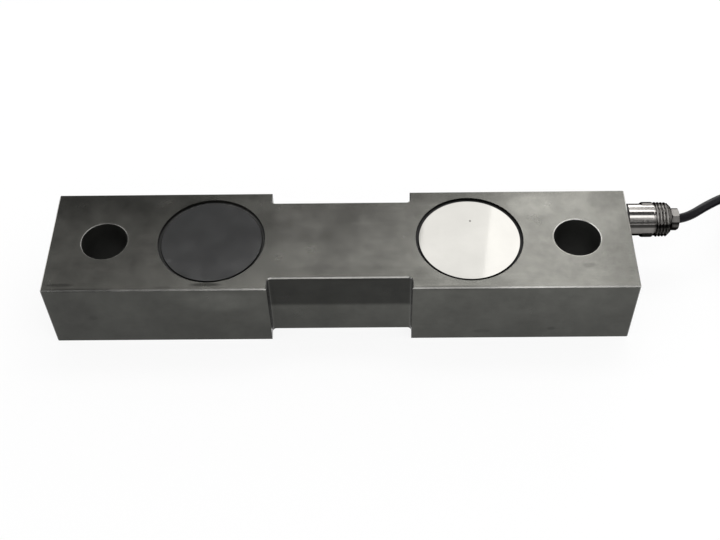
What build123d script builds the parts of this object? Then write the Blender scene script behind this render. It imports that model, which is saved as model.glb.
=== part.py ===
# Double-ended shear-beam load cell.
# Millimetres. X runs along the bar, Y to the back, Z up. The origin is the centre of the bar's underside,
# on which it lies with its gauge pockets facing up and down.
from build123d import *
from math import cos, pi, radians, sin, tan
import os

os.makedirs("parts", exist_ok=True)

# Bar
beam_length = 325
beam_width = 70
beam_height = 47
edge_chamfer = 0.6

# Bolt holes through the end blocks
bolt_hole_radius = 13
bolt_hole_from_end = 30.5
bolt_hole_chamfer = 0.3

# Waist that the load link goes round
waist_from_pocket = 32.5
waist_depth = 7.5
waist_corner_radius = 2

# Gauge pockets, a pair of them back to back on each side of the waist
pocket_from_bolt_hole = 60
pocket_radius = 26
pocket_mouth_radius = 30
web_thickness = 9

# Covers, set in below the faces and sealed round their edges
cover_thickness = 3
cover_drop = 1
cover_chamfer = 0.3
seal_width = 1.6
seal_drop = 2

# Wire passages
bore_radius = 4
channel_radius = 2.75
web_hole_radius = 2
web_hole_from_wall = 4

# Gland, towards the upper back corner of the right end, on the axis of the passages
gland_from_pocket_wall = 4
gland_from_top = 11
gland_clearance = 0.1
gland_hole_depth = 12
stud_radius = 8
stud_length = 11
seal_ring_width = 1.3
barrel_radius = 9.2
barrel_length = 7.9
collar_radius = 10.1
collar_length = 6.6
collar_chamfer = 0.8
lug_width = 9
lug_turn = 41
groove_radius = 8.9
groove_width = 1.2
thread_radius = 10
thread_length = 8.8
thread_lead_in = 2.4
passage_radius = 3
chamber_radius = 5
chamber_depth = 11

# Compression nut, thrust washer and grommet
nut_across_flats = 11.35
nut_hex_length = 4.2
nut_turn = -5
nut_corner_chamfer = 0.9
nut_gap = 0.6
shank_length = 3.6
mouth_flare = 1.8
washer_thickness = 1

# Cable
cable_radius = 2.7
cable_bury = 3
core_radius = 0.6
core_spread = 0.75

# Strain gauges, terminal strips, bridge board and leads
film_length = 16
film_width = 10
film_thickness = 0.2
film_corner = 1
grid_length = 6
grid_width = 4
grid_height = 0.1
grid_offset = 3.6
strip_length = 12
strip_width = 5
strip_thickness = 1
strip_offset = 12
board_length = 20
board_width = 12
board_thickness = 1.6
board_corner = 1
board_offset = 13
pad_margin = 2
pad_thickness = 1
solder_radius = 0.9
solder_height = 0.2
solder_pitch = 3
solder_margin = 1
lead_radius = 0.6
lead_loop = 4
lead_bend = 2
core_bend = 1.5

# Coil of the cable's spare length, its tie and the bare end
coil_columns = 5
coil_layers = 4
coil_mid_radius = 39.7
coil_corner = 2.4
tail_length = 34
tie_width = 5
tie_thickness = 1.2
tie_angle = 40
tie_head = 7
tie_clearance = 0.3
bare_length = 24
bare_fan = 10
bare_pitch = 1.35

# Edges this near a place are taken to lie on it
touching = 0.01

# Places worked out from those sizes
beam_end = beam_length / 2
bolt_hole_offset = beam_end - bolt_hole_from_end
pocket_offset = bolt_hole_offset - pocket_from_bolt_hole
waist_length = 2 * (pocket_offset - waist_from_pocket)
pocket_depth = (beam_height - web_thickness) / 2
web_top = beam_height - pocket_depth
web_hole_offset = pocket_radius - web_hole_from_wall
cover_seat = cover_drop + cover_thickness
cover_radius = pocket_mouth_radius - seal_width
gland_y = pocket_radius - gland_from_pocket_wall
gland_z = beam_height - gland_from_top
gland_axis = Axis((0, gland_y, gland_z), (1, 0, 0))
barrel_start = beam_end + seal_ring_width
collar_start = barrel_start + barrel_length
groove_start = collar_start + collar_length
thread_start = groove_start + groove_width
thread_end = thread_start + thread_length
nut_start = thread_end + nut_gap
nut_end = nut_start + nut_hex_length
shank_start = nut_start - shank_length
washer_start = shank_start - washer_thickness
chamber_floor = thread_end - chamber_depth
cable_start = nut_end - cable_bury
pocket_sides = {"left": -pocket_offset, "right": pocket_offset}

# The cable's free run, from the gland down to the top turn of the coil
cable_route = [
    (cable_start, gland_y, gland_z),
    (203, 22, 36),
    (215.4, 27.4, 35.4),
    (228.4, 40.4, 30.8),
    (240.1, 52.9, 25.2),
]


def face_plane(level, x, depth):
    # a plane that faces out of the upper or lower face, sunk by a depth below it
    if level == "upper":
        return Plane(origin=(x, 0, beam_height - depth), x_dir=(1, 0, 0), z_dir=(0, 0, 1))
    return Plane(origin=(x, 0, depth), x_dir=(1, 0, 0), z_dir=(0, 0, -1))


def end_plane(x):
    # a plane across the gland's axis that faces along the bar
    return Plane(origin=(x, gland_y, gland_z), x_dir=(0, 1, 0), z_dir=(1, 0, 0))


def bend_radii(points):
    # each bend takes 0.45 of its shorter run on either side of its corner
    radii = []
    for before, corner, after in zip(points, points[1:], points[2:]):
        run_in = Vector(*corner) - Vector(*before)
        run_out = Vector(*after) - Vector(*corner)
        half_turn = radians(run_in.get_angle(run_out)) / 2
        radii.append(0.45 * min(run_in.length, run_out.length) / tan(half_turn))
    return radii


def save(piece, name):
    piece.part.label = name
    export_step(piece.part, f"parts/{name}.step")


# Beam body: the bar with its waist, drilled from the right end and pocketed from both faces
with BuildPart() as beam_body:
    with BuildSketch() as outline:
        Rectangle(beam_length, beam_width)
        with Locations((0, beam_width / 2), (0, -beam_width / 2)):
            Rectangle(waist_length, 2 * waist_depth, mode=Mode.SUBTRACT)
    extrude(amount=beam_height)
    waist_y = beam_width / 2 - waist_depth
    uprights = beam_body.edges().filter_by(Axis.Z)
    fillet(uprights.filter_by(lambda e: abs(abs(e.center().Y) - waist_y) < touching), waist_corner_radius)
    rims = beam_body.faces().filter_by(Axis.Z).edges()
    corners = beam_body.edges().filter_by(Axis.Z)
    chamfer(rims + corners.filter_by(lambda e: abs(e.center().X) > beam_end - touching), edge_chamfer)
    for level in ("upper", "lower"):
        for x in pocket_sides.values():
            with BuildSketch(face_plane(level, x, 0)):
                Circle(pocket_mouth_radius)
            extrude(amount=-cover_seat, mode=Mode.SUBTRACT)
            with BuildSketch(face_plane(level, x, 0)):
                Circle(pocket_radius)
            extrude(amount=-pocket_depth, mode=Mode.SUBTRACT)
    with BuildSketch():
        with Locations((-pocket_offset, -web_hole_offset), (pocket_offset, -web_hole_offset)):
            Circle(web_hole_radius)
    extrude(amount=beam_height, mode=Mode.SUBTRACT)
    with BuildSketch():
        with Locations((-bolt_hole_offset, 0), (bolt_hole_offset, 0)):
            Circle(bolt_hole_radius)
    extrude(amount=beam_height, mode=Mode.SUBTRACT)
    mouths = beam_body.edges().filter_by(GeomType.CIRCLE)
    bolt_mouths = mouths.filter_by(
        lambda e: abs(e.radius - bolt_hole_radius) < touching
        and abs(abs(e.arc_center.X) - bolt_hole_offset) < touching
    )
    chamfer(bolt_mouths, bolt_hole_chamfer)
    with BuildSketch(end_plane(beam_end)):
        Circle(stud_radius + gland_clearance)
    extrude(amount=-gland_hole_depth, mode=Mode.SUBTRACT)
    with BuildSketch(end_plane(beam_end)):
        Circle(bore_radius)
    extrude(amount=-(beam_end - pocket_offset), mode=Mode.SUBTRACT)
    with BuildSketch(end_plane(pocket_offset)):
        Circle(channel_radius)
    extrude(amount=-2 * pocket_offset, mode=Mode.SUBTRACT)
save(beam_body, "beam_body")

# Pocket covers and the sealant bead round each
for level in ("upper", "lower"):
    for side, x in pocket_sides.items():
        with BuildPart() as cover:
            with BuildSketch(face_plane(level, x, cover_seat)):
                Circle(cover_radius)
            extrude(amount=cover_thickness)
            outer_face = cover.faces().sort_by(Axis.Z)[-1 if level == "upper" else 0]
            chamfer(outer_face.edges(), cover_chamfer)
        save(cover, f"cover_{level}_{side}")

        with BuildPart() as bead:
            with BuildSketch(face_plane(level, x, cover_seat)):
                Circle(pocket_mouth_radius)
                Circle(cover_radius, mode=Mode.SUBTRACT)
            extrude(amount=cover_seat - seal_drop)
        save(bead, f"seal_{level}_{side}")

# Shear gauges on the web: a film with two foil grids across each other at 45 degrees to the bar
for level in ("upper", "lower"):
    for side, x in pocket_sides.items():
        with BuildPart() as gauge:
            with BuildSketch(face_plane(level, x, pocket_depth)):
                RectangleRounded(film_length, film_width, film_corner)
            extrude(amount=film_thickness)
            with BuildSketch(face_plane(level, x, pocket_depth - film_thickness)):
                with Locations(Location((-grid_offset, 0), 45), Location((grid_offset, 0), -45)):
                    Rectangle(grid_length, grid_width)
            extrude(amount=grid_height)
        save(gauge, f"shear_gauge_{level}_{side}")

        with BuildPart() as strip:
            with BuildSketch(face_plane(level, x, pocket_depth)):
                turned = strip_offset if level == "lower" else -strip_offset
                with Locations((0, turned)):
                    Rectangle(strip_length, strip_width)
            extrude(amount=strip_thickness)
            with BuildSketch(face_plane(level, x, pocket_depth - strip_thickness)):
                with Locations((0, turned)):
                    with GridLocations(solder_pitch, 1, 4, 1):
                        Circle(solder_radius)
            extrude(amount=solder_height)
        save(strip, f"terminals_{level}_{side}")

# Bridge board on its foam pad, in the upper right pocket
pad_top = web_top + pad_thickness
board_top = pad_top + board_thickness
with BuildPart() as board_pad:
    with BuildSketch(Plane.XY.offset(web_top)):
        with Locations((pocket_offset, board_offset)):
            Rectangle(board_length - 2 * pad_margin, board_width - 2 * pad_margin)
    extrude(amount=pad_thickness)
save(board_pad, "board_pad")

core_row = board_offset + board_width / 2 - solder_radius - solder_margin
lead_row = board_offset - board_width / 2 + solder_radius + solder_margin


def pin_x(number, count):
    # the place of a solder point in its row
    return (number - (count - 1) / 2) * solder_pitch


# Where each core of the cable lies across the bore, and the board's solder point that it goes to
core_places = {"red": (1, 1), "black": (-1, 1), "green": (1, -1), "white": (-1, -1)}
core_points = {
    colour: (pocket_offset + pin_x(number, 6), core_row + core_places[colour][0] * core_spread)
    for number, colour in enumerate(core_places, start=2)
}
channel_point = (pocket_offset + pin_x(0, 6), core_row)
right_point = (pocket_offset + pin_x(1, 4), lead_row)
with BuildPart() as bridge_board:
    with BuildSketch(Plane.XY.offset(pad_top)):
        with Locations((pocket_offset, board_offset)):
            RectangleRounded(board_length, board_width, board_corner)
    extrude(amount=board_thickness)
    with BuildSketch(Plane.XY.offset(board_top)):
        with Locations(channel_point, right_point, *core_points.values()):
            Circle(solder_radius)
    extrude(amount=solder_height)
save(bridge_board, "bridge_board")
core_end_z = board_top + solder_height
strip_end_z = web_top + strip_thickness + solder_height


def wire(points, radius, bend):
    # a round wire along straight runs with a bend of one radius at each corner
    with BuildPart() as piece:
        with BuildLine() as path:
            FilletPolyline(*points, radius=bend)
        with BuildSketch(Plane(origin=path.line @ 0, z_dir=path.line % 0)):
            Circle(radius)
        sweep()
    return piece


# Leads inside the pockets
lead_level = web_top + 2 * lead_loop
left_pin = -pocket_offset + pin_x(1, 4)
right_pin = right_point[0]
channel_lead = wire(
    [
        (left_pin, -strip_offset, strip_end_z),
        (left_pin, -strip_offset, lead_level),
        (left_pin, gland_y - 2 * lead_loop, lead_level),
        (left_pin + 3 * lead_loop, gland_y, gland_z),
        (pocket_offset - board_length / 2 - lead_loop, gland_y, gland_z),
        (*channel_point, lead_level),
        (*channel_point, core_end_z),
    ],
    lead_radius,
    lead_bend,
)
save(channel_lead, "channel_lead")

right_lead = wire(
    [
        (right_pin, -strip_offset, strip_end_z),
        (right_pin, -strip_offset, lead_level),
        (*right_point, lead_level),
        (*right_point, core_end_z),
    ],
    lead_radius,
    lead_bend,
)
save(right_lead, "right_lead")

lower_level = web_top - web_thickness - 2 * lead_loop
strip_low_z = web_top - web_thickness - strip_thickness - solder_height
for side, x in pocket_sides.items():
    pin = x + pin_x(2, 4)
    web_lead = wire(
        [
            (pin, -strip_offset, strip_low_z),
            (pin, -strip_offset, lower_level),
            (x, -web_hole_offset, lower_level),
            (x, -web_hole_offset, lead_level),
            (pin, -strip_offset, lead_level),
            (pin, -strip_offset, strip_end_z),
        ],
        lead_radius,
        lead_bend,
    )
    save(web_lead, f"web_lead_{side}")

# Gland: a turned body, its stud in the beam, its collar cut to two lugs, bored for the grommet and the nut
with BuildPart() as gland_body:
    with BuildSketch(Plane(origin=(0, gland_y, gland_z), x_dir=(1, 0, 0), z_dir=(0, -1, 0))):
        with BuildLine():
            Polyline(
                (beam_end - stud_length, passage_radius),
                (beam_end - stud_length, stud_radius),
                (barrel_start, stud_radius),
                (barrel_start, barrel_radius),
                (collar_start, barrel_radius),
                (collar_start, collar_radius - collar_chamfer / 2),
                (collar_start + collar_chamfer, collar_radius),
                (groove_start - collar_chamfer, collar_radius),
                (groove_start, collar_radius - collar_chamfer / 2),
                (groove_start, groove_radius),
                (thread_start, groove_radius),
                (thread_start, thread_radius),
                (thread_end - thread_lead_in, thread_radius),
                (thread_end, thread_radius - thread_lead_in),
                (thread_end, chamber_radius),
                (chamber_floor, chamber_radius),
                (chamber_floor, passage_radius),
                close=True,
            )
        make_face()
    revolve(axis=gland_axis)
    with BuildSketch(end_plane(collar_start)):
        Circle(2 * collar_radius)
        Rectangle(4 * collar_radius, lug_width, rotation=lug_turn, mode=Mode.SUBTRACT)
        Circle(barrel_radius, mode=Mode.SUBTRACT)
    extrude(amount=collar_length, mode=Mode.SUBTRACT)
save(gland_body, "gland_body")

with BuildPart() as gland_ring:
    with BuildSketch(end_plane(beam_end)):
        Circle(barrel_radius)
        Circle(stud_radius + gland_clearance, mode=Mode.SUBTRACT)
    extrude(amount=seal_ring_width)
save(gland_ring, "gland_seal_ring")

with BuildPart() as grommet:
    with BuildSketch(end_plane(chamber_floor)):
        Circle(chamber_radius - gland_clearance)
        Circle(cable_radius + gland_clearance, mode=Mode.SUBTRACT)
    extrude(amount=washer_start - chamber_floor)
save(grommet, "gland_grommet")

with BuildPart() as washer:
    with BuildSketch(end_plane(washer_start)):
        Circle(chamber_radius - gland_clearance)
        Circle(cable_radius + gland_clearance, mode=Mode.SUBTRACT)
    extrude(amount=washer_thickness)
save(washer, "gland_washer")

# Nut: a hexagon whose corners are turned off to a cone at both ends, with a shank and a flared mouth
nut_corner = nut_across_flats / 2 / cos(radians(30))
nut_bore = cable_radius + gland_clearance
with BuildPart() as gland_nut:
    with BuildSketch(end_plane(nut_start)):
        RegularPolygon(nut_corner, 6, rotation=nut_turn)
    extrude(amount=nut_hex_length)
    with BuildSketch(Plane(origin=(0, gland_y, gland_z), x_dir=(1, 0, 0), z_dir=(0, -1, 0))):
        with BuildLine():
            Polyline(
                (nut_start, 0),
                (nut_start, nut_corner - nut_corner_chamfer),
                (nut_start + nut_corner_chamfer / 2, nut_corner),
                (nut_end - nut_corner_chamfer / 2, nut_corner),
                (nut_end, nut_corner - nut_corner_chamfer),
                (nut_end, 0),
                close=True,
            )
        make_face()
    revolve(axis=gland_axis, mode=Mode.INTERSECT)
    with BuildSketch(end_plane(shank_start)):
        Circle(chamber_radius - gland_clearance)
    extrude(amount=shank_length)
    with BuildSketch(end_plane(shank_start)):
        Circle(nut_bore)
    extrude(amount=shank_length + nut_hex_length, mode=Mode.SUBTRACT)
    mouth = gland_nut.faces().sort_by(Axis.X)[-1].edges().filter_by(GeomType.CIRCLE)
    chamfer(mouth.sort_by(SortBy.RADIUS)[0], mouth_flare)
save(gland_nut, "gland_nut")

# Cable: the end held in the gland, and its four cores on to the bridge board
with BuildPart() as cable_end:
    with BuildSketch(end_plane(barrel_start)):
        Circle(cable_radius)
    extrude(amount=cable_start - barrel_start)
save(cable_end, "cable_in_gland")

fan_x = pocket_offset + board_length / 2 + lead_loop
for colour, (across, up) in core_places.items():
    core_y = gland_y + across * core_spread
    core_z = gland_z + up * core_spread
    core = wire(
        [
            (barrel_start, core_y, core_z),
            (fan_x, core_y, core_z),
            (*core_points[colour], lead_level + up * core_spread),
            (*core_points[colour], core_end_z),
        ],
        core_radius,
        core_bend,
    )
    save(core, f"core_{colour}")

# Cable: the free run down to the coil
route_radii = bend_radii(cable_route)
with BuildPart() as cable:
    with BuildLine() as cable_path:
        FilletPolyline(*cable_route, radius=route_radii)
    with BuildSketch(Plane(origin=cable_path.line @ 0, z_dir=cable_path.line % 0)):
        Circle(cable_radius)
    sweep()
save(cable, "cable")
print("bend radii of the cable", [round(r, 1) for r in route_radii])
run_length = cable_path.wires()[0].length
print("length of the free run", round(run_length, 1))
print("volume over section times length", round(cable.part.volume / (pi * cable_radius**2 * run_length), 5))

# Coil: its ring lies on the floor, so that the last run meets the outermost turn of the top layer as a tangent
cable_width = 2 * cable_radius
ring_width = coil_columns * cable_width
ring_height = coil_layers * cable_width
outer_turn_radius = coil_mid_radius + (ring_width - cable_width) / 2
coil_in = Vector(*cable_route[-1])
coil_way = (coil_in - Vector(*cable_route[-2])).normalized()
stub_length = (coil_in.Z - (ring_height - cable_radius)) / -coil_way.Z
touch = coil_in + coil_way * stub_length
level_way = Vector(coil_way.X, coil_way.Y, 0).normalized()
coil_x = touch.X + level_way.Y * outer_turn_radius
coil_y = touch.Y - level_way.X * outer_turn_radius
coil_axis = Axis((coil_x, coil_y, 0), (0, 0, 1))
coil_section = Plane(origin=(coil_x, coil_y, ring_height / 2), x_dir=(1, 0, 0), z_dir=(0, -1, 0))
tie_way = Vector(cos(radians(tie_angle)), sin(radians(tie_angle)), 0)
tie_centre = Vector(coil_x, coil_y, ring_height / 2) + tie_way * coil_mid_radius
tie_plane = Plane(origin=tie_centre, x_dir=tie_way, z_dir=(-tie_way.Y, tie_way.X, 0))
tail_start = Vector(coil_x, coil_y - outer_turn_radius, cable_radius)
with BuildPart() as cable_coil:
    with BuildSketch(coil_section):
        with Locations((coil_mid_radius, 0)):
            RectangleRounded(ring_width, ring_height, coil_corner)
    revolve(axis=coil_axis)
    with BuildSketch(Plane(origin=coil_in, z_dir=coil_way)):
        Circle(cable_radius)
    extrude(amount=stub_length)
    with BuildSketch(Plane(origin=tail_start, z_dir=(-1, 0, 0))):
        Circle(cable_radius)
    extrude(amount=tail_length)
    with BuildSketch(tie_plane):
        Rectangle(ring_width + cable_width, ring_height + cable_width)
        groove = tie_thickness + tie_clearance
        Rectangle(ring_width - 2 * groove, ring_height - 2 * groove, mode=Mode.SUBTRACT)
    extrude(amount=tie_width / 2 + tie_clearance, both=True, mode=Mode.SUBTRACT)
save(cable_coil, "cable_coil")

with BuildPart() as coil_tie:
    with BuildSketch(tie_plane):
        Rectangle(ring_width, ring_height)
        Rectangle(ring_width - 2 * tie_thickness, ring_height - 2 * tie_thickness, mode=Mode.SUBTRACT)
    extrude(amount=tie_width / 2, both=True)
    with BuildSketch(Plane(origin=tie_centre + Vector(0, 0, ring_height / 2), x_dir=tie_way)):
        Rectangle(tie_head, tie_head)
    extrude(amount=tie_head / 2)
save(coil_tie, "coil_tie")

# Bare end of the cable: four cores that leave the jacket side by side and fan out on the floor
bare_x = tail_start.X - tail_length
for number, colour in enumerate(core_places):
    place = 1.5 - number
    spread = bare_length / 2 * tan(radians(bare_fan * place))
    core_y = tail_start.Y + place * bare_pitch
    bare_route = [
        (bare_x, core_y, cable_radius),
        (bare_x - bare_length / 4, core_y, cable_radius),
        (bare_x - bare_length / 2, core_y, core_radius),
        (bare_x - bare_length, core_y + spread, core_radius),
    ]
    bare_core = wire(bare_route, core_radius, bend_radii(bare_route))
    save(bare_core, f"bare_{colour}")
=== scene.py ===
# Strain gauge load cell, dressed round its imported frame. Metres; X along the bar, Y to the back, Z up.
from math import cos, pi, radians, sin, tan

import bmesh
import bpy
from mathutils import Matrix, Vector


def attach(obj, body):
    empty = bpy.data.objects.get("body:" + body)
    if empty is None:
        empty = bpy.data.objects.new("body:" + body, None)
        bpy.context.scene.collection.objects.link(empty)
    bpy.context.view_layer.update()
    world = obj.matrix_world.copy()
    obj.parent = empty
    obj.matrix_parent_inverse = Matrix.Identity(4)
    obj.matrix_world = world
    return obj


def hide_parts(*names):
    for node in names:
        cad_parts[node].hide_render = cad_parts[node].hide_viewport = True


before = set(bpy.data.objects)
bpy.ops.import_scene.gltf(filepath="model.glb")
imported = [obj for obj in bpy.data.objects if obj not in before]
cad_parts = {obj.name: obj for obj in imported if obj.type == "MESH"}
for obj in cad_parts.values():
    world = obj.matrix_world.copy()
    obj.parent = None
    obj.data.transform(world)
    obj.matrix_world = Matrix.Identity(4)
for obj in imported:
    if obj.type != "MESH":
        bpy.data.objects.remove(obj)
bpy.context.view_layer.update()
MM = 0.001

# Camera
CAMERA_YAW = radians(1.2646)
CAMERA_PITCH = radians(51.4891)
CAMERA_ROLL = radians(-1.4599)
CAMERA_TARGET = Vector((10.24, 15.259, 0)) * MM
CAMERA_DISTANCE = 695.525 * MM
CAMERA_LENS = 58.21
CAMERA_SENSOR = 36
CAMERA_NEAR = 0.01
CAMERA_FAR = 50

# Bar, as the frame has it
BEAM_HEIGHT = 47 * MM
WAIST_HALF = 39.5 * MM
BOLT_HOLE_X = 132 * MM
BOLT_HOLE_RADIUS = 13 * MM
POCKET_X = 72 * MM

# Bar's tones, the sides' darker one painted shade and the bevels' pale one a painted highlight; and where the
# painted shade on the upper half of the waist's walls begins and is full
PAINTED_SHADE_SIDE_TONE = (0.074, 0.0745, 0.068)
TOP_TONE = (0.216, 0.213, 0.194)
PAINTED_HIGHLIGHT_BEVEL_TONE = (0.70, 0.69, 0.66)
BEVEL_FACING = 0.7071
PAINTED_SHADE_BAND_START = 20.5 * MM
PAINTED_SHADE_BAND_FULL = 25.5 * MM

# Where the grey skin on the left seal ends, from the middle of its pocket
SEAL_SKIN_RADIUS = 29.1 * MM

# Stains and handling marks on the bar, and painted reflection and shade: the small ones are stains and
# handling marks, the large patches on the top face and the left front are painted reflection and shade, and
# the two strips along the front top edge are painted shade on its bevel; centre in millimetres, half widths
# in millimetres, and the factor on the brightness there
BEAM_STAINS_AND_PAINTED_LIGHT = [
    ((-152, -31, 47), (7, 1.1, 2), 0.6),
    ((-73, -31.4, 47), (8, 1.2, 2), 0.42),
    ((-68, -35, 36), (17, 4, 8), 1.25),
    ((136, -20, 47), (3.5, 1.6, 2), 0.82),
    ((-96, -33, 47), (5, 0.7, 2), 0.8),
    ((118, -35, 9), (2.2, 2, 1.5), 0.75),
    ((79, -35, 7), (5, 2, 1.5), 0.8),
    ((-138, -35, 22), (2.5, 2, 2), 0.82),
    ((-112, 30, 47), (44, 11, 3), 0.78),
    ((-24, 14, 47), (18, 11, 3), 1.16),
    ((109, 24, 47), (13, 8, 3), 1.26),
    ((151, 28, 47), (11, 8, 3), 0.84),
    ((70, -32, 47), (34, 5, 3), 0.86),
    ((62, 33, 47), (28, 7, 3), 0.76),
    ((6, -25, 47), (40, 7, 3), 0.84),
    ((-154, 26, 47), (11, 11, 3), 0.72),
    ((49, -27, 47), (9, 7, 3), 0.86),
    ((-148, -35, 26), (12, 3, 20), 0.86),
    ((-142, -35, 47), (22, 1.6, 1.2), 0.62),
    ((62, -35, 47), (24, 1.6, 1.2), 0.66),
]

# Gland, as the frame has it, and the thread that is cut on it here
GLAND_Y = 22 * MM
GLAND_Z = 36 * MM
THREAD_START = 179.5 * MM
THREAD_END = 188.3 * MM
THREAD_CREST = 10 * MM
THREAD_DEPTH = 0.75 * MM
THREAD_FLAT = 0.1
THREAD_PITCH = 1.814 * MM
THREAD_TAPER = 1 / 32
THREAD_LEAD_IN = 2.4 * MM
THREAD_RINGS = 66
NUT_START = 188.9 * MM
BARREL_RADIUS = 9.2 * MM
GROOVE_START = 178.5 * MM
GROOVE_RADIUS = 8.9 * MM
COLLAR_END = 178.3 * MM
LUG_HALF_WIDTH = 4.5 * MM
LUG_TURN = radians(41)
LUG_FLANK = 0.7 * MM
GLAND_SEGMENTS = 160

# Gland's outline in millimetres, as places along X with their radii
GLAND_BARREL = [(151.5, 3.0), (151.5, 8.0), (163.8, 8.0), (163.8, 8.95), (164.05, 9.2), (171.6, 9.2)]
GLAND_COLLAR = [(171.7, 9.7), (172.1, 10.0), (172.5, 10.1), (177.5, 10.1), (177.9, 10.0), (178.3, 9.7)]
GLAND_BORE = [(188.3, 5.3), (188.0, 5.0), (177.3, 5.0), (177.3, 3.0)]

# Cable and its coil
CABLE_RADIUS = 2.7 * MM
CABLE_PITCH = 2 * CABLE_RADIUS
COIL_X = 290.13 * MM
COIL_Y = 32.45 * MM
COIL_MID_RADIUS = 39.7 * MM
COIL_COLUMNS = 5
COIL_LAYERS = 4

# Cable's way from the gland to the coil, in millimetres
LEAD_OUT = [
    (190.1, 22, 36),
    (193, 22.15, 36),
    (197.9, 23.5, 36),
    (202.2, 25.7, 35.8),
    (206.1, 28.6, 35.3),
    (210.0, 31.8, 34.6),
    (214.4, 35.3, 33.5),
    (219.6, 39.3, 32.1),
    (225.6, 43.6, 30.2),
    (232.3, 48.2, 27.9),
    (239.4, 53.6, 25.1),
]

# Winding: in degrees round the coil the spacing of its points, where it starts and how far it
# travels; how much its first point is lifted; where and over how many degrees a turn crosses to
# the next; and how far and over how many degrees it bulges where it changes layers
STEP_ANGLE = 15
ENTRY_ANGLE = 142.5
LAST_TRAVEL = 7065
ENTRY_LIFT = 1.7 * MM
CROSS_TRAVEL = 322.5
CROSS_WIDTH = 45
BULGE = 2.8 * MM
BULGE_WIDTH = 75

# Tie round the coil, and how it squeezes the turns
TIE_ANGLE = radians(40)
PINCH = 0.08
PINCH_WIDTH = radians(24)

# Cable's end: its straight tail, and the four bare cores, which fan out by so many degrees each
TAIL_LENGTH = 34 * MM
TAIL_STEPS = (8 * MM, 20 * MM)
BARE_LENGTH = 24 * MM
BARE_FAN = 10
BARE_PITCH = 1.35 * MM
BARE_GATHER = 0.35 * MM
BARE_START = 2 * MM
CORE_RADIUS = 0.6 * MM
TIP_RADIUS = 0.4 * MM

# Studio: sizes in metres, and the middle of the flat window in degrees, seen from the point that
# the lamps face
WALL_RADIUS = 22.0
WALL_HEIGHT = 6.0
WALL_SIDES = 96
FLOOR_HEIGHT = -0.0001
WHITE_STRENGTH = 1.07
WHITE_SHARE = 0.82
SKY_COLOUR = (0.98, 0.99, 1, 1)
SKY_STRENGTH = 0.08
LAMP_AIM = Vector((0.02, 0, 0.046))
LAMP_DISTANCE = 1.5
WINDOW_AZIMUTH = 8.55
WINDOW_ELEVATION = 49.35


# Helpers


def link(obj):
    bpy.context.scene.collection.objects.link(obj)
    return obj


def mesh_object(name, built, smooth_angle=30):
    # a finished bmesh as an object, smooth except at its edges
    bmesh.ops.recalc_face_normals(built, faces=built.faces)
    data = bpy.data.meshes.new(name)
    built.to_mesh(data)
    built.free()
    data.polygons.foreach_set("use_smooth", [True] * len(data.polygons))
    data.set_sharp_from_angle(angle=radians(smooth_angle))
    return link(bpy.data.objects.new(name, data))


def bridge(built, rows):
    # faces between each closed row of points and the next, and from the last back to the first
    for row, following in zip(rows, rows[1:] + rows[:1]):
        for k in range(len(row)):
            j = (k + 1) % len(row)
            built.faces.new((row[k], row[j], following[j], following[k]))


def tube(name, points, radius, sides=4, steps=4):
    # a round tube round one smooth spline with these control points
    data = bpy.data.curves.new(name, "CURVE")
    data.dimensions = "3D"
    data.bevel_depth = radius
    data.bevel_resolution = sides
    data.resolution_u = steps
    data.use_fill_caps = True
    spline = data.splines.new("NURBS")
    spline.points.add(len(points) - 1)
    for place, point in zip(spline.points, points):
        place.co = (*point, 1)
    spline.order_u = 3
    spline.use_endpoint_u = True
    spline.resolution_u = steps
    return link(bpy.data.objects.new(name, data))


def smooth(value):
    # a smooth step from 0 to 1
    value = min(max(value, 0), 1)
    return value * value * (3 - 2 * value)


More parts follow.
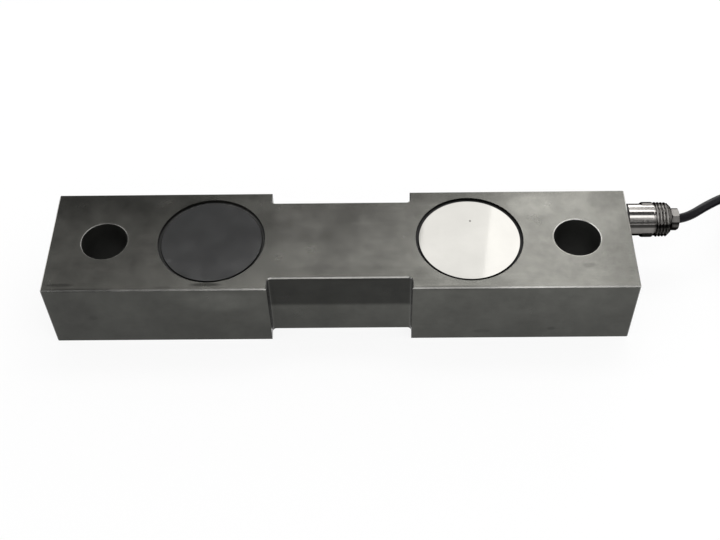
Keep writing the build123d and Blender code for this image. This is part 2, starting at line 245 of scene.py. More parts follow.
class Look:
    # a procedural material: its shader, and nodes that read the place on the object

    def __init__(self, name, roughness, metallic=0.0):
        self.data = bpy.data.materials.new(name)
        self.data.use_nodes = True
        self.tree = self.data.node_tree
        self.shader = self.tree.nodes["Principled BSDF"]
        self.put(self.shader.inputs["Roughness"], roughness)
        self.put(self.shader.inputs["Metallic"], metallic)
        self.place = self.add("ShaderNodeTexCoord").outputs["Object"]

    def add(self, kind, **settings):
        made = self.tree.nodes.new(kind)
        for name, value in settings.items():
            setattr(made, name, value)
        return made

    def put(self, socket, value):
        if isinstance(value, bpy.types.NodeSocket):
            self.tree.links.new(value, socket)
        else:
            socket.default_value = value

    def surface(self, name, value):
        self.put(self.shader.inputs[name], value)

    def noise(self, scale, stretch=(1, 1, 1), detail=3.0, roughness=0.55):
        place = self.add("ShaderNodeVectorMath", operation="MULTIPLY")
        self.put(place.inputs[0], self.place)
        place.inputs[1].default_value = stretch
        made = self.add("ShaderNodeTexNoise")
        self.put(made.inputs["Vector"], place.outputs[0])
        made.inputs["Scale"].default_value = scale
        made.inputs["Detail"].default_value = detail
        made.inputs["Roughness"].default_value = roughness
        return made.outputs["Fac"]

    def maths(self, operation, first, second=0.0):
        made = self.add("ShaderNodeMath", operation=operation)
        self.put(made.inputs[0], first)
        self.put(made.inputs[1], second)
        return made.outputs[0]

    def times(self, first, *others):
        # all these values multiplied
        for other in others:
            first = self.maths("MULTIPLY", first, other)
        return first

    def distance(self, first, second):
        # the length of two sides at right angles
        squares = [self.maths("POWER", side, 2.0) for side in (first, second)]
        return self.maths("SQRT", self.maths("ADD", *squares))

    def remap(self, value, start, end, low=0.0, high=1.0):
        # a smooth step from low to high as the value goes from start to end
        made = self.add("ShaderNodeMapRange", interpolation_type="SMOOTHSTEP")
        self.put(made.inputs["Value"], value)
        made.inputs["From Min"].default_value = start
        made.inputs["From Max"].default_value = end
        made.inputs["To Min"].default_value = low
        made.inputs["To Max"].default_value = high
        return made.outputs["Result"]

    def dim(self, shade, where, factor):
        # the shade, times this factor where the second value is 1
        return self.times(shade, self.remap(where, 0, 1, 1, factor))

    def mix(self, factor, first, second):
        # a colour that goes from the first to the second with the factor
        made = self.add("ShaderNodeMix", data_type="RGBA", blend_type="MIX")
        self.put(made.inputs[0], factor)
        for socket, colour in zip(made.inputs[6:8], (first, second)):
            self.put(socket, (*colour, 1) if isinstance(colour, tuple) else colour)
        return made.outputs[2]

    def mix_value(self, factor, first, second):
        # a number that goes from the first to the second with the factor
        made = self.add("ShaderNodeMix", data_type="FLOAT")
        self.put(made.inputs[0], factor)
        self.put(made.inputs[2], first)
        self.put(made.inputs[3], second)
        return made.outputs[0]

    def tone(self, colour, factor):
        # a colour times a grey factor
        made = self.add("ShaderNodeVectorMath", operation="SCALE")
        self.put(made.inputs[0], colour)
        self.put(made.inputs[3], factor)
        return made.outputs[0]

    def axes(self, vector=None):
        # the place on the object, or another vector, as its three numbers
        made = self.add("ShaderNodeSeparateXYZ")
        self.put(made.inputs[0], vector or self.place)
        return made.outputs

    def facing(self):
        # how much the surface faces along X, Y and Z, either way, from 0 to 1
        normal = self.add("ShaderNodeNewGeometry").outputs["Normal"]
        return [self.maths("ABSOLUTE", part) for part in self.axes(normal)]

    def blot(self, centre, reach, soft=0.5):
        # 1 inside an ellipsoid with these half widths in millimetres, falling to 0 across its edge
        shift = self.add("ShaderNodeVectorMath", operation="SUBTRACT")
        self.put(shift.inputs[0], self.place)
        shift.inputs[1].default_value = [c * MM for c in centre]
        scale = self.add("ShaderNodeVectorMath", operation="MULTIPLY")
        self.put(scale.inputs[0], shift.outputs[0])
        scale.inputs[1].default_value = [1 / (r * MM) for r in reach]
        length = self.add("ShaderNodeVectorMath", operation="LENGTH")
        self.put(length.inputs[0], scale.outputs[0])
        return self.remap(length.outputs["Value"], 1 - soft, 1 + soft, 1, 0)

    def bump(self, height, depth, strength=1.0, under=None):
        made = self.add("ShaderNodeBump")
        made.inputs["Strength"].default_value = strength
        made.inputs["Distance"].default_value = depth
        self.put(made.inputs["Height"], height)
        if under is not None:
            self.put(made.inputs["Normal"], under)
        return made.outputs["Normal"]


def paint(node, look):
    # gives a carried-over node its material
    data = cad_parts[node].data
    data.materials.clear()
    data.materials.append(look.data)


def dress(obj, look, slot, *nodes):
    # a new piece: its material, its slot (not used), the body it rides on and the nodes it stands for
    obj.data.materials.append(look.data)
    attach(obj, "root")
    if nodes:
        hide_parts(*nodes)
    return obj


# Materials


def waist_shade(look, shade, sloping):
    place = look.axes()
    facing_x, facing_y = look.facing()[:2]
    from_middle = look.maths("ABSOLUTE", place["X"])
    # painted shade on the upper half of the waist's side walls
    in_waist = look.remap(from_middle, WAIST_HALF, WAIST_HALF + 0.3 * MM, 1, 0)
    upper = look.remap(place["Z"], PAINTED_SHADE_BAND_START, PAINTED_SHADE_BAND_FULL)
    band = look.times(in_waist, upper, look.remap(facing_y, 0.6, 0.9))
    shade = look.dim(shade, band, 0.37)
    # painted shade also on its end walls, most of all in their upper half, and on the bevels along their tops
    by_waist = look.remap(from_middle, WAIST_HALF + 3 * MM, WAIST_HALF + 6 * MM, 1, 0)
    end_wall = look.times(look.remap(facing_x, 0.6, 0.9), by_waist)
    end_bevel = look.times(look.remap(facing_x, 0.3, 0.6), sloping, by_waist)
    shade = look.dim(shade, end_bevel, 0.12)
    return look.times(shade, look.mix_value(end_wall, 1.0, look.remap(upper, 0, 1, 0.85, 0.26)))


def bolt_holes(look):
    # 1 on the bolt holes' walls, and 1 on the rims round them
    x, y = look.axes()[:2]
    off_axis = look.distance(look.maths("SUBTRACT", look.maths("ABSOLUTE", x), BOLT_HOLE_X), y)
    wall = look.remap(off_axis, BOLT_HOLE_RADIUS + 0.05 * MM, BOLT_HOLE_RADIUS + 0.15 * MM, 1, 0)
    rim = look.remap(off_axis, BOLT_HOLE_RADIUS + 0.6 * MM, BOLT_HOLE_RADIUS + 1.1 * MM, 1, 0)
    return wall, look.times(rim, look.maths("SUBTRACT", 1.0, wall))


def beam_steel():
    look = Look("beam_steel", 0.25, 1.0)
    place = look.axes()
    facing_z = look.facing()[2]
    flat = look.remap(facing_z, 0.85, 0.97)
    off_slope = look.maths("ABSOLUTE", look.maths("SUBTRACT", facing_z, BEVEL_FACING))
    sloping = look.remap(off_slope, 0.1, 0.2, 1, 0)
    cloud = look.noise(34, detail=5, roughness=0.6)
    fleck = look.noise(190, detail=4, roughness=0.6)
    lines = look.noise(1, stretch=(30, 1400, 1400), detail=2)
    # the sides' darker tone is painted shade, and the bevels' pale tone a painted highlight
    colour = look.mix(flat, PAINTED_SHADE_SIDE_TONE, TOP_TONE)
    colour = look.mix(sloping, colour, PAINTED_HIGHLIGHT_BEVEL_TONE)
    shade = look.times(
        look.remap(cloud, 0.25, 0.75, 0.86, 1.14),
        look.remap(fleck, 0.2, 0.8, 0.92, 1.08),
        look.remap(lines, 0.2, 0.8, 0.97, 1.03),
    )
    # painted shade: the sides are darker towards their foot and towards the left
    foot = look.times(
        look.remap(place["Z"], 0, BEAM_HEIGHT, 0.84, 1.12),
        look.remap(place["X"], -130 * MM, 60 * MM, 0.76, 1.02),
    )
    shade = look.times(shade, look.mix_value(look.maths("MAXIMUM", flat, sloping), foot, 1.0))
    shade = waist_shade(look, shade, sloping)
    # stains and handling marks, and painted reflection and shade
    for centre, reach, factor in BEAM_STAINS_AND_PAINTED_LIGHT:
        shade = look.dim(shade, look.blot(centre, reach), factor)
    # painted shade inside the bolt holes and a painted highlight on the rims round them, but painted shade on
    # the left one's bevel
    hole, rim = bolt_holes(look)
    painted_bevel_shade = look.times(rim, sloping, look.maths("LESS_THAN", place["X"], 0.0))
    shade = look.dim(shade, hole, 0.6)
    shade = look.dim(shade, rim, 1.35)
    shade = look.dim(shade, painted_bevel_shade, 0.25)
    look.surface("Base Color", look.tone(colour, shade))
    rough = look.remap(look.noise(60, detail=4), 0.2, 0.8, 0.22, 0.28)
    look.surface("Roughness", look.maths("ADD", rough, look.remap(hole, 0, 1, 0, 0.4)))
    look.surface("Normal", look.bump(lines, 0.00001, 0.4, look.bump(fleck, 0.00003, 0.1)))
    return look


def cover_steel():
    # finely brushed steel; the right cover is browner and much smoother, and a cover's edge is painted black
    # as painted shade
    look = Look("cover_steel", 0.11, 1.0)
    right = look.maths("GREATER_THAN", look.axes()[0], 0.0)
    edge = look.remap(look.facing()[2], 0.8, 0.95, 1, 0)
    cloud = look.noise(40, detail=4)
    lines = look.noise(1, stretch=(1500, 20, 20), detail=2)
    speck = look.blot((73.1, 13.4, 46), (0.55, 0.7, 2), 0.4)
    scuff = look.blot((-95, -13.5, 46), (2.2, 1.2, 2), 0.8)
    shade = look.remap(cloud, 0.25, 0.75, 0.96, 1.04)
    shade = look.dim(shade, speck, 0.35)
    shade = look.dim(shade, scuff, 1.25)
    hue = look.mix(right, (0.528, 0.526, 0.524), (0.456, 0.446, 0.420))
    # the black at the cover's edge is painted shade
    look.surface("Base Color", look.mix(edge, look.tone(hue, shade), (0.012, 0.012, 0.012)))
    rough = look.remap(look.noise(90, detail=4), 0.2, 0.8, 0.08, 0.13)
    rough = look.times(rough, look.mix_value(right, 1.0, 0.35))
    look.surface("Roughness", look.maths("ADD", rough, look.remap(edge, 0, 1, 0, 0.4)))
    look.surface("Normal", look.bump(lines, 0.000005, 0.2))
    return look


def sealant():
    # lumpy black sealant with painted light that makes it paler towards the back, and on the left with a grey
    # skin near the cover
    look = Look("sealant", 0.5)
    x, y = look.axes()[:2]
    off_axis = look.distance(look.maths("ADD", x, POCKET_X), y)
    skin = look.remap(off_axis, SEAL_SKIN_RADIUS, SEAL_SKIN_RADIUS + 0.3 * MM, 1, 0)
    skin = look.times(skin, look.maths("LESS_THAN", x, 0.0))
    lumps = look.noise(420, detail=3)
    shade = look.remap(lumps, 0.2, 0.8, 0.6, 1.5)
    # painted light: paler towards the back
    shade = look.times(shade, look.remap(y, 5 * MM, 28 * MM, 1, 4))
    colour = look.mix(skin, (0.010, 0.010, 0.010), (0.040, 0.040, 0.038))
    look.surface("Base Color", look.tone(colour, shade))
    look.surface("Roughness", look.remap(lumps, 0.2, 0.8, 0.5, 0.68))
    look.surface("Normal", look.bump(lumps, 0.0003, 0.6))
    return look


def gland_sides(look, off_y, off_z, radius):
    # how far a point of the outside faces up and how far back, each from 1 to -1 and both turned
    # 15 degrees round the axis, so that up leans to the front
    steep, shallow = 0.966, 0.259
    up = look.maths("ADD", look.times(off_y, -shallow), look.times(off_z, steep))
    back = look.maths("ADD", look.times(off_y, steep), look.times(off_z, shallow))
    return [look.maths("DIVIDE", side, radius) for side in (up, back)]


def gland_steel():
    look = Look("gland_steel", 0.14, 1.0)
    x, y, z = look.axes()
    off_y = look.maths("SUBTRACT", y, GLAND_Y)
    off_z = look.maths("SUBTRACT", z, GLAND_Z)
    radius = look.distance(off_y, off_z)
    up, back = gland_sides(look, off_y, off_z, radius)
    # where the thread, its valleys, the lugs and the nut are
    threaded = look.remap(x, THREAD_START - 0.9 * MM, THREAD_START - 0.7 * MM)
    threaded = look.times(threaded, look.remap(x, THREAD_END, THREAD_END + 0.2 * MM, 1, 0))
    valley = look.times(threaded, look.remap(radius, THREAD_CREST - 0.7 * MM, THREAD_CREST - 0.2 * MM, 1, 0))
    lug = look.remap(radius, BARREL_RADIUS + 0.1 * MM, BARREL_RADIUS + 0.2 * MM)
    lug = look.times(lug, look.maths("LESS_THAN", x, THREAD_START - 1 * MM))
    nut = look.maths("GREATER_THAN", x, NUT_START - 0.1 * MM)
    turned = look.noise(1, stretch=(2600, 40, 40), detail=2)
    cloud = look.noise(300, detail=3)
    shade = look.times(look.remap(cloud, 0.2, 0.8, 0.88, 1.08), look.remap(turned, 0.2, 0.8, 0.95, 1.05))
    # painted reflection and shade: the turned finish is bright on the upper front only, with painted shade
    # over the top and underneath
    below = look.remap(back, -0.72, -0.66, 0.08, 1)
    below = look.maths("ADD", below, look.remap(back, -0.87, -0.81, 0.30, 0))
    shade = look.times(
        shade,
        look.remap(back, 0.66, 0.73, 1, 0.25),
        below,
        look.remap(up, 0.03, 0.11, 0.3, 1),
    )
    # the thread is darker overall, with painted shade in its valleys and over its top; the lugs get painted
    # shade, and the nut is darker
    shade = look.dim(shade, threaded, 0.7)
    shade = look.dim(shade, valley, 0.55)
    shade = look.dim(shade, look.times(look.remap(back, 0.40, 0.52), threaded), 0.4)
    shade = look.dim(shade, lug, 0.35)
    shade = look.dim(shade, nut, 0.66)
    look.surface("Base Color", look.tone((0.52, 0.50, 0.475), shade))
    look.surface("Specular Tint", (0.12, 0.12, 0.12, 1))
    rough = look.remap(turned, 0.2, 0.8, 0.10, 0.18)
    rough = look.maths("ADD", rough, look.remap(threaded, 0, 1, 0, 0.12))
    look.surface("Roughness", look.maths("ADD", rough, look.times(nut, 0.2)))
    look.surface("Normal", look.bump(turned, 0.00001, 0.3))
    return look


def plastic(name, colour, roughness=0.45, scale=500, depth=0.00006, gloss=0.5):
    # moulded or extruded plastic and rubber: fine grain and a little mottling
    look = Look(name, roughness)
    grain = look.noise(scale, detail=3)
    cloud = look.noise(scale / 8, detail=3)
    shade = look.times(look.remap(grain, 0.2, 0.8, 0.93, 1.07), look.remap(cloud, 0.2, 0.8, 0.9, 1.1))
    look.surface("Base Color", look.tone(colour, shade))
    look.surface("Roughness", look.remap(cloud, 0.2, 0.8, roughness - 0.06, roughness + 0.08))
    look.surface("Normal", look.bump(grain, depth, 0.4))
    look.surface("Specular IOR Level", gloss)
    return look


def gauge_film():
    # bands of foil on amber film
    look = Look("gauge_film", 0.35)
    weave = look.add("ShaderNodeTexWave", wave_type="BANDS", bands_direction="DIAGONAL")
    look.put(weave.inputs["Vector"], look.place)
    weave.inputs["Scale"].default_value = 700
    foil = look.remap(weave.outputs["Fac"], 0.45, 0.55)
    look.surface("Base Color", look.mix(foil, (0.42, 0.20, 0.05), (0.55, 0.40, 0.22)))
    look.surface("Roughness", look.remap(look.noise(400), 0.2, 0.8, 0.3, 0.45))
    return look


def circuit_board():
    look = Look("circuit_board", 0.4)
    cloud = look.noise(500, detail=3)
    look.surface("Base Color", look.mix(look.remap(cloud, 0.3, 0.7), (0.01, 0.10, 0.035), (0.02, 0.15, 0.05)))
    look.surface("Roughness", look.remap(cloud, 0.2, 0.8, 0.32, 0.48))
    return look


def tinned_copper():
    look = Look("tinned_copper", 0.3, 1.0)
    twist = look.noise(900, detail=2)
    look.surface("Base Color", look.tone((0.62, 0.60, 0.57), look.remap(twist, 0.2, 0.8, 0.8, 1.1)))
    look.surface("Roughness", look.remap(twist, 0.2, 0.8, 0.22, 0.4))
    return look


steel = beam_steel()
cover = cover_steel()
seal = sealant()
gland_metal = gland_steel()
rubber = plastic("gland_rubber", (0.012, 0.012, 0.012), 0.6)
jacket = plastic("cable_jacket", (0.0095, 0.0092, 0.0118), 0.37, gloss=0.1)
tie_look = plastic("tie_plastic", (0.016, 0.016, 0.016), 0.38)
film = gauge_film()
board = circuit_board()
foam = plastic("foam_pad", (0.50, 0.50, 0.48), 0.9, 900, 0.0003)
lead_look = plastic("lead_wire", (0.35, 0.34, 0.32), 0.45)
copper = tinned_copper()
core_looks = {
    "red": plastic("core_red", (0.42, 0.015, 0.012), 0.4),
    "black": plastic("core_black", (0.014, 0.014, 0.015), 0.4),
    "green": plastic("core_green", (0.012, 0.16, 0.035), 0.4),
    "white": plastic("core_white", (0.62, 0.62, 0.59), 0.4),
}

paint("beam_body", steel)
for level in ("upper", "lower"):
    for side in ("left", "right"):
        paint(f"cover_{level}_{side}", cover)
        paint(f"seal_{level}_{side}", seal)
        paint(f"shear_gauge_{level}_{side}", film)
        paint(f"terminals_{level}_{side}", board)
for name, look in [
    ("board_pad", foam),
    ("bridge_board", board),
    ("channel_lead", lead_look),
    ("right_lead", lead_look),
    ("web_lead_left", lead_look),
    ("web_lead_right", lead_look),
    ("gland_seal_ring", rubber),
    ("gland_grommet", rubber),
    ("gland_washer", gland_metal),
    ("gland_nut", gland_metal),
    ("cable_in_gland", jacket),
]:
    paint(name, look)
for colour, look in core_looks.items():
    paint(f"core_{colour}", look)


# Gland body with its cut thread


def thread_radius(x, turn):
    # a helix of ridges with short flats on top and between them, tapering, its end turned to a cone
    phase = ((x - THREAD_START) / THREAD_PITCH - turn / (2 * pi)) % 1
    wave = 1 - abs(2 * phase - 1)
    valley = min(max((wave - THREAD_FLAT) / (1 - 2 * THREAD_FLAT), 0), 1)
    crest = THREAD_CREST - (x - THREAD_START) * THREAD_TAPER
    ridge = crest - THREAD_DEPTH * valley
    cone = THREAD_CREST - (x - (THREAD_END - THREAD_LEAD_IN))
    return min(ridge, cone)


def collar_radius(outer, turn):
    # two lugs opposite each other, and between them no more than the barrel
    from_middle = abs((turn - LUG_TURN + pi / 2) % pi - pi / 2)
    off_side = BARREL_RADIUS * from_middle - LUG_HALF_WIDTH
    return BARREL_RADIUS + (outer - BARREL_RADIUS) * (1 - smooth(off_side / LUG_FLANK + 0.5))


def gland_body():
    # rings of points along the axis: outside from the bar to the mouth, then back down the bore
    turns = [2 * pi * k / GLAND_SEGMENTS for k in range(GLAND_SEGMENTS)]
    rings = [(x * MM, [r * MM] * GLAND_SEGMENTS) for x, r in GLAND_BARREL]
    rings += [(x * MM, [collar_radius(r * MM, turn) for turn in turns]) for x, r in GLAND_COLLAR]
    rings.append((COLLAR_END, [BARREL_RADIUS] * GLAND_SEGMENTS))
    rings += [(x, [GROOVE_RADIUS] * GLAND_SEGMENTS) for x in (GROOVE_START, THREAD_START)]
    for k in range(THREAD_RINGS + 1):
        x = THREAD_START + (THREAD_END - THREAD_START) * k / THREAD_RINGS
        rings.append((x, [thread_radius(x, turn) for turn in turns]))
    rings += [(x * MM, [r * MM] * GLAND_SEGMENTS) for x, r in GLAND_BORE]
    built = bmesh.new()
    rows = []
    for x, radii in rings:
        rows.append([
            built.verts.new((x, GLAND_Y + radius * cos(turn), GLAND_Z + radius * sin(turn)))
            for radius, turn in zip(radii, turns)
        ])
    bridge(built, rows)
    return mesh_object("gland_threaded_body", built, 35)


dress(gland_body(), gland_metal, "gland_steel", "gland_body")


# Cable: from the gland, down past the view's edge, and wound into a coil

# the columns and layers that the winding fills in turn, from the top layer's outermost turn down
stations = []
for number in range(COIL_LAYERS):
    columns = range(COIL_COLUMNS) if number % 2 == 0 else reversed(range(COIL_COLUMNS))
    stations += [(column, COIL_LAYERS - 1 - number) for column in columns]


def coil_station(travel):
    # the column and layer after the cable has travelled round by this many degrees, and how far it bulges
    column, layer = stations[0]
    bulge = 0
    for number, (here, there) in enumerate(zip(stations, stations[1:])):
        past = travel - (CROSS_TRAVEL + 360 * number)
        moved = smooth(past / CROSS_WIDTH + 0.5)
        column += (there[0] - here[0]) * moved
        layer += (there[1] - here[1]) * moved
        if here[0] == there[0] and abs(past) < BULGE_WIDTH:
            away = -1 if here[0] else 1
            bulge += away * BULGE * cos(pi / 2 * past / BULGE_WIDTH) ** 2
    return column, layer, bulge


def coil_point(travel):
    # where the cable is after it has travelled round by this many degrees
    column, layer, bulge = coil_station(travel)
    across = (COIL_COLUMNS - 1) / 2 * CABLE_PITCH - column * CABLE_PITCH + bulge
    height = CABLE_RADIUS + layer * CABLE_PITCH
    turn = radians(ENTRY_ANGLE - travel)
    # the tie squeezes the bundle
    beside = (turn - TIE_ANGLE + pi) % (2 * pi) - pi
    squeeze = 1
    if abs(beside) < PINCH_WIDTH:
        squeeze -= PINCH * cos(pi / 2 * beside / PINCH_WIDTH) ** 2
    middle = COIL_LAYERS * CABLE_PITCH / 2
    height = middle + (height - middle) * squeeze
    out = (COIL_MID_RADIUS + across * squeeze) / cos(radians(STEP_ANGLE / 2))
    return Vector((COIL_X + out * cos(turn), COIL_Y + out * sin(turn), height))


tail_y = COIL_Y - COIL_MID_RADIUS - (COIL_COLUMNS - 1) / 2 * CABLE_PITCH
bare_x = COIL_X - TAIL_LENGTH
route = [Vector(point) * MM for point in LEAD_OUT]
route.append(coil_point(0) + Vector((0, 0, ENTRY_LIFT)))
route += [coil_point(travel) for travel in range(STEP_ANGLE, LAST_TRAVEL + 1, STEP_ANGLE)]
route += [Vector((COIL_X - back, tail_y, CABLE_RADIUS)) for back in TAIL_STEPS]
route.append(Vector((bare_x, tail_y, CABLE_RADIUS)))
cable = tube("cable_lead", route, CABLE_RADIUS, sides=4, steps=4)
dress(cable, jacket, "cable_jacket", "cable", "cable_coil")


# Bare end: four cores with tinned tips


def bare_core(colour, place):
    # one core that comes down to the floor and fans out; its place counts from the middle of the four
    spread = BARE_LENGTH / 2 * tan(radians(BARE_FAN * place))
    core_y = tail_y + place * BARE_PITCH
    start = Vector((bare_x + BARE_START, core_y - place * BARE_GATHER, CABLE_RADIUS))
    leave = Vector((bare_x - BARE_LENGTH / 4, core_y, CABLE_RADIUS))
    land = Vector((bare_x - BARE_LENGTH / 2, core_y, CORE_RADIUS))
    end = Vector((bare_x - BARE_LENGTH, core_y + spread, CORE_RADIUS))
    covered = [start, leave, land, land.lerp(end, 0.3), land.lerp(end, 0.55)]
    stripped = [land.lerp(end, 0.5), land.lerp(end, 0.75), end]
    core = tube(f"bare_core_{colour}", covered, CORE_RADIUS, 3, 8)
    dress(core, core_looks[colour], f"core_{colour}", f"bare_{colour}")
    tip = tube(f"bare_tip_{colour}", stripped, TIP_RADIUS, 3, 6)
    tip.data.materials.append(copper.data)
    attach(tip, "root")
    return [core, tip]


with_cable = []
for number, colour in enumerate(core_looks):
    with_cable += bare_core(colour, 1.5 - number)


# Tie round the coil


def band_path(half_across, half_up, corner):
    # a rectangle with round corners, as points outwards and upwards, each with its outward direction
    corner_steps = 8
    path = []
    for quarter in range(4):
        right = 1 if quarter in (0, 3) else -1
        upper = 1 if quarter < 2 else -1
        for step in range(corner_steps + 1):
            turn = pi / 2 * (quarter + step / corner_steps)
            way = (cos(turn), sin(turn))
            path.append((
                right * (half_across - corner) + corner * way[0],
                upper * (half_up - corner) + corner * way[1],
                way,
            ))
    return path


def tie_band():
    # a strap with bevelled edges, bent round the bundle, and its square head on top
    half_across, half_up, corner = 13.4 * MM, 10.7 * MM, 4.2 * MM
    half_width, thickness, edge = 2.5 * MM, 1.2 * MM, 0.35 * MM
    head_size, head_height, head_seat, head_bevel = 7 * MM, 3.6 * MM, 1.6 * MM, 0.6 * MM
    outward = Vector((cos(TIE_ANGLE), sin(TIE_ANGLE), 0))
    along = Vector((-sin(TIE_ANGLE), cos(TIE_ANGLE), 0))
    up = Vector((0, 0, 1))
    half_bundle = COIL_LAYERS * CABLE_PITCH / 2
    centre = Vector((COIL_X, COIL_Y, half_bundle)) + outward * COIL_MID_RADIUS
    section = [
        (0, -half_width + edge),
        (0, half_width - edge),
        (edge, half_width),
        (thickness - edge, half_width),
        (thickness, half_width - edge),
        (thickness, -half_width + edge),
        (thickness - edge, -half_width),
        (edge, -half_width),
    ]
    built = bmesh.new()
    rows = []
    for across, height, way in band_path(half_across, half_up, corner):
        row = []
        for depth, side in section:
            place = centre + outward * (across - depth * way[0]) + up * (height - depth * way[1])
            row.append(built.verts.new(place + along * side))
        rows.append(row)
    bridge(built, rows)
    head = bmesh.ops.create_cube(built, size=1)["verts"]
    turn = Matrix((outward, along, up)).transposed().to_4x4()
    seat = Matrix.Translation(centre + up * (half_bundle + head_seat))
    scale = Matrix.Diagonal((head_size, head_size, head_height, 1))
    bmesh.ops.transform(built, matrix=seat @ turn @ scale, verts=head)
    head_edges = list({line for vert in head for line in vert.link_edges})
    bmesh.ops.bevel(built, geom=head_edges, offset=head_bevel, segments=3, affect="EDGES", profile=0.5)
    return mesh_object("cable_tie", built, 40)


tie = dress(tie_band(), tie_look, "tie_plastic", "coil_tie")
with_cable.append(tie)


# Floor, lights and camera


def studio_paint(name):
    # matt white that stays white to the camera and in reflections, and still takes a shadow
    look = Look(name, 0.9)
    look.surface("Base Color", (0.90, 0.90, 0.90, 1))
    look.surface("Specular IOR Level", 0.0)
    ray = look.add("ShaderNodeLightPath").outputs
    seen = look.maths("MAXIMUM", ray["Is Camera Ray"], ray["Is Glossy Ray"])
    seen = look.maths("MAXIMUM", seen, ray["Is Transmission Ray"])
    white = look.add("ShaderNodeEmission")
    white.inputs["Color"].default_value = (1, 1, 1, 1)
    white.inputs["Strength"].default_value = WHITE_STRENGTH
    blend = look.add("ShaderNodeMixShader")
    look.put(blend.inputs[0], look.times(seen, WHITE_SHARE))
    look.put(blend.inputs[1], look.shader.outputs[0])
    look.put(blend.inputs[2], white.outputs[0])
    output = next(n for n in look.tree.nodes if n.type == "OUTPUT_MATERIAL")
    look.put(output.inputs["Surface"], blend.outputs[0])
    return look


def make_studio():
    # a level floor, and a rim far round it that hides the horizon
    paint_look = studio_paint("studio_paint")
    built = bmesh.new()
    bmesh.ops.create_grid(built, x_segments=1, y_segments=1, size=WALL_RADIUS)
    floor = mesh_object("floor", built)
    floor.location.z = FLOOR_HEIGHT
    built = bmesh.new()
    turns = [2 * pi * k / WALL_SIDES for k in range(WALL_SIDES)]
    foot, top = [
        [built.verts.new((WALL_RADIUS * cos(turn), WALL_RADIUS * sin(turn), height)) for turn in turns]
        for height in (FLOOR_HEIGHT, WALL_HEIGHT)
    ]
    for k in range(WALL_SIDES):
        j = (k + 1) % WALL_SIDES
        built.faces.new((foot[k], foot[j], top[j], top[k]))
    wall = mesh_object("backdrop", built)
    for stage_piece in (floor, wall):
        stage_piece.data.materials.append(paint_look.data)


def lamp(name, place, way, width, height, radiance):
    # a rectangular lamp of plain white light at a place, facing against its way
    data = bpy.data.lights.new(name, "AREA")
    data.shape = "RECTANGLE"
    data.size = width
    data.size_y = height
    data.energy = radiance * pi * width * height
    made = link(bpy.data.objects.new(name, data))
    made.location = place
    made.rotation_mode = "QUATERNION"
    made.rotation_quaternion = way.to_track_quat("Z", "Y")
    made.visible_camera = False


def direction(azimuth, elevation):
    # the way to a lamp; azimuth 0 is behind the bar, a quarter turn is to the right
    return Vector((sin(azimuth) * cos(elevation), cos(azimuth) * cos(elevation), sin(elevation)))


def panel(name, left, right, low, high, radiance):
    # a lamp that fills these azimuths and elevations in degrees, seen from the bar
    elevation = radians((low + high) / 2)
    way = direction(radians((left + right) / 2), elevation)
    width = LAMP_DISTANCE * cos(elevation) * radians(right - left)
    height = LAMP_DISTANCE * radians(high - low)
    lamp(name, LAMP_AIM + way * LAMP_DISTANCE, way, width, height, radiance)


def pane(name, left, right, low, high, radiance):
    # a lamp that fills these azimuths and elevations as a part of one flat window, so that neighbours meet
    azimuth, elevation = radians(WINDOW_AZIMUTH), radians(WINDOW_ELEVATION)
    way = direction(azimuth, elevation)
    side = Vector((cos(azimuth), -sin(azimuth), 0))
    up = side.cross(way)
    reach = LAMP_DISTANCE * cos(elevation)
    sides = [reach * tan(radians(angle - WINDOW_AZIMUTH)) for angle in (left, right)]
    rises = [LAMP_DISTANCE * tan(radians(angle - WINDOW_ELEVATION)) for angle in (low, high)]
    place = LAMP_AIM + way * LAMP_DISTANCE + side * sum(sides) / 2 + up * sum(rises) / 2
    lamp(name, place, way, sides[1] - sides[0], rises[1] - rises[0], radiance)


def strip(name, left, right, low, high, radiance):
    # a lamp parallel to the bar from one X to another, between two angles in degrees that count
    # from the front horizon up and over to the back
    middle = radians((low + high) / 2)
    way = Vector((0, -cos(middle), sin(middle)))
    place = Vector(((left + right) / 2, LAMP_AIM.y, LAMP_AIM.z)) + way * LAMP_DISTANCE
    lamp(name, place, way, right - left, LAMP_DISTANCE * radians(high - low), radiance)


def make_world():
    world = bpy.data.worlds.new("studio")
    world.use_nodes = True
    sky = world.node_tree.nodes["Background"]
    sky.inputs["Color"].default_value = SKY_COLOUR
    sky.inputs["Strength"].default_value = SKY_STRENGTH
    bpy.context.scene.world = world


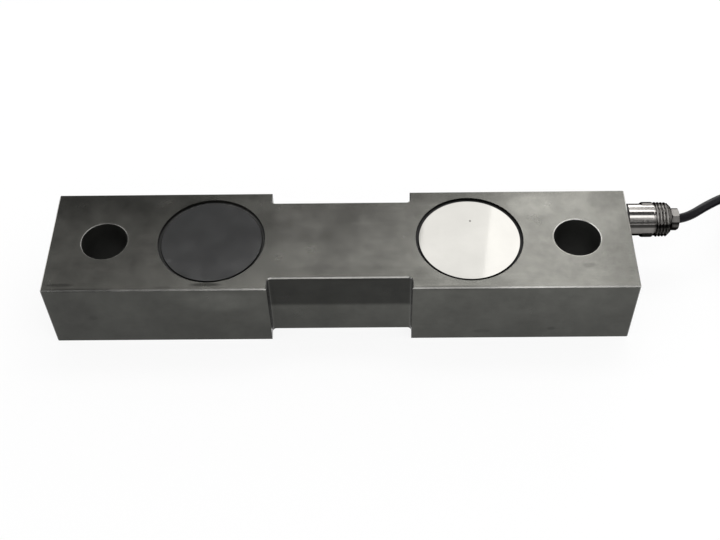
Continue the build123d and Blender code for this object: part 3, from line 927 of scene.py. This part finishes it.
def make_camera():
    back = Vector((
        sin(CAMERA_YAW) * cos(CAMERA_PITCH),
        -cos(CAMERA_YAW) * cos(CAMERA_PITCH),
        sin(CAMERA_PITCH),
    ))
    level = (-back).cross(Vector((0, 0, 1))).normalized()
    upright = level.cross(-back)
    right = level * cos(CAMERA_ROLL) + upright * sin(CAMERA_ROLL)
    up = upright * cos(CAMERA_ROLL) - level * sin(CAMERA_ROLL)
    data = bpy.data.cameras.new("camera")
    data.lens = CAMERA_LENS
    data.sensor_width = CAMERA_SENSOR
    data.sensor_fit = "HORIZONTAL"
    data.clip_start = CAMERA_NEAR
    data.clip_end = CAMERA_FAR
    camera = link(bpy.data.objects.new("camera", data))
    turn = Matrix((right, up, back)).transposed().to_4x4()
    camera.matrix_world = Matrix.Translation(CAMERA_TARGET + back * CAMERA_DISTANCE) @ turn
    bpy.context.scene.camera = camera


make_studio()
make_world()
pane("window_left", 2.65, 5.0, 46.5, 52.6, 1.07)
pane("window_middle", 5.0, 12.1, 46.5, 52.6, 1.67)
pane("window_right", 12.1, 17.5, 41.5, 53.0, 2.04)
panel("window_low_2", 17.5, 22.5, 41.5, 47.0, 3.2)
panel("window_low_3", 22.5, 28.5, 41.5, 47.0, 2.14)
panel("window_high_2", 17.5, 22.5, 47.0, 53.0, 2.19)
panel("window_high_3", 22.5, 28.5, 47.0, 53.0, 0.62)
strip("front_box", -0.18, 0.45, 33, 45, 1.3)
strip("overhead_left", -0.9, -0.25, 109, 123, 0.85)
strip("overhead_middle", -0.25, 0.25, 109, 123, 3.94)
strip("overhead_right", 0.25, 0.9, 109, 123, 2.87)
strip("overhead_front", -0.2, 0.8, 62, 80, 2.0)
strip("far_window", 0.2, 0.9, 149, 173, 3.6)
strip("back_low", -1.3, 0.2, 156, 174, 0.7)
panel("back_left", 300, 330, 8, 28, 0.55)
panel("back_right", 28, 60, 8, 38, 0.9)
panel("left_side", 235, 300, 8, 62, 1.0)
panel("right_side", 60, 125, 8, 62, 1.0)
panel("front_left", 190, 235, 8, 27, 0.9)
panel("front_right", 125, 150, 10, 55, 0.8)
make_camera()

view = bpy.context.scene.view_settings
view.view_transform = "Standard"
